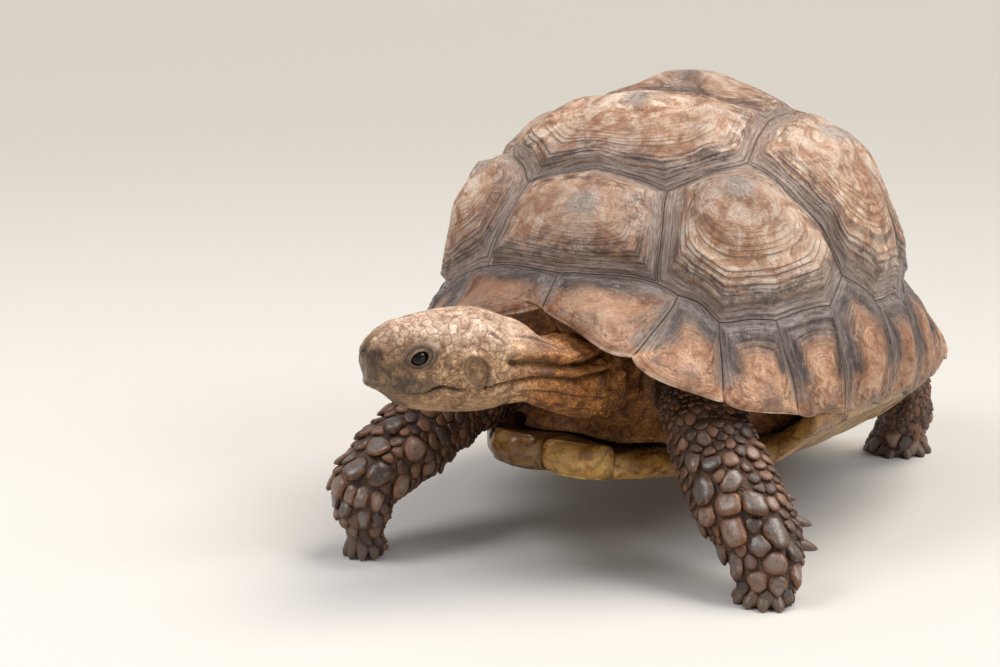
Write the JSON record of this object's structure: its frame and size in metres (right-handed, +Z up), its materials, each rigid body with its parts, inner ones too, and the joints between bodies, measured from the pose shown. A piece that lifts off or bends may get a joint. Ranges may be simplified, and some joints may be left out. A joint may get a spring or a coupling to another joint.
{
  "type": "tortoise model",
  "caption": "Life-size standing model of a large, high-domed brown tortoise in mid-stride, with horny shell plates, scaly legs and its head turned to its right.",
  "frame": {"origin": "middle of the whole box in plan, on the floor under the feet", "axes": "-Y is the way the animal walks, +X is its left, +Z is up"},
  "size_m": [0.381, 0.568, 0.3298],
  "materials": {
    "shell_plate": "satin horn, ringed with growth lines, brown tan with darker seams",
    "rim_plate": "satin horn, worn paler along the free edge",
    "plastron_plate": "smooth horn, yellow brown with grey patches",
    "leg_skin": "dark brown scaly hide",
    "head_skin": "mottled tan skin with fine folds",
    "eye": "wet, glossy, near black"
  },
  "bodies": {
    "root": {"abdominal_left": "plastron_plate", "abdominal_right": "plastron_plate", "anal_left": "plastron_plate", "anal_right": "plastron_plate", "costal_left_1": "shell_plate", "costal_left_2": "shell_plate", "costal_left_3": "shell_plate", "costal_left_4": "shell_plate", "costal_right_1": "shell_plate", "costal_right_2": "shell_plate", "costal_right_3": "shell_plate", "costal_right_4": "shell_plate", "eye_left": "eye", "eye_right": "eye", "femoral_left": "plastron_plate", "femoral_right": "plastron_plate", "foreleg_left": "leg_skin", "foreleg_right": "leg_skin", "gular_left": "plastron_plate", "gular_right": "plastron_plate", "head": "head_skin", "hindleg_left": "leg_skin", "hindleg_right": "leg_skin", "humeral_left": "plastron_plate", "humeral_right": "plastron_plate", "marginal_left_1": "rim_plate", "marginal_left_10": "rim_plate", "marginal_left_11": "rim_plate", "marginal_left_2": "rim_plate", "marginal_left_3": "rim_plate", "marginal_left_4": "rim_plate", "marginal_left_5": "rim_plate", "marginal_left_6": "rim_plate", "marginal_left_7": "rim_plate", "marginal_left_8": "rim_plate", "marginal_left_9": "rim_plate", "marginal_right_1": "rim_plate", "marginal_right_10": "rim_plate", "marginal_right_11": "rim_plate", "marginal_right_2": "rim_plate", "marginal_right_3": "rim_plate", "marginal_right_4": "rim_plate", "marginal_right_5": "rim_plate", "marginal_right_6": "rim_plate", "marginal_right_7": "rim_plate", "marginal_right_8": "rim_plate", "marginal_right_9": "rim_plate", "neck": "head_skin", "pectoral_left": "plastron_plate", "pectoral_right": "plastron_plate", "supracaudal": "rim_plate", "tail": "leg_skin", "trunk": "leg_skin", "vertebral_1": "shell_plate", "vertebral_2": "shell_plate", "vertebral_3": "shell_plate", "vertebral_4": "shell_plate", "vertebral_5": "shell_plate"}
  },
  "joints": []
}
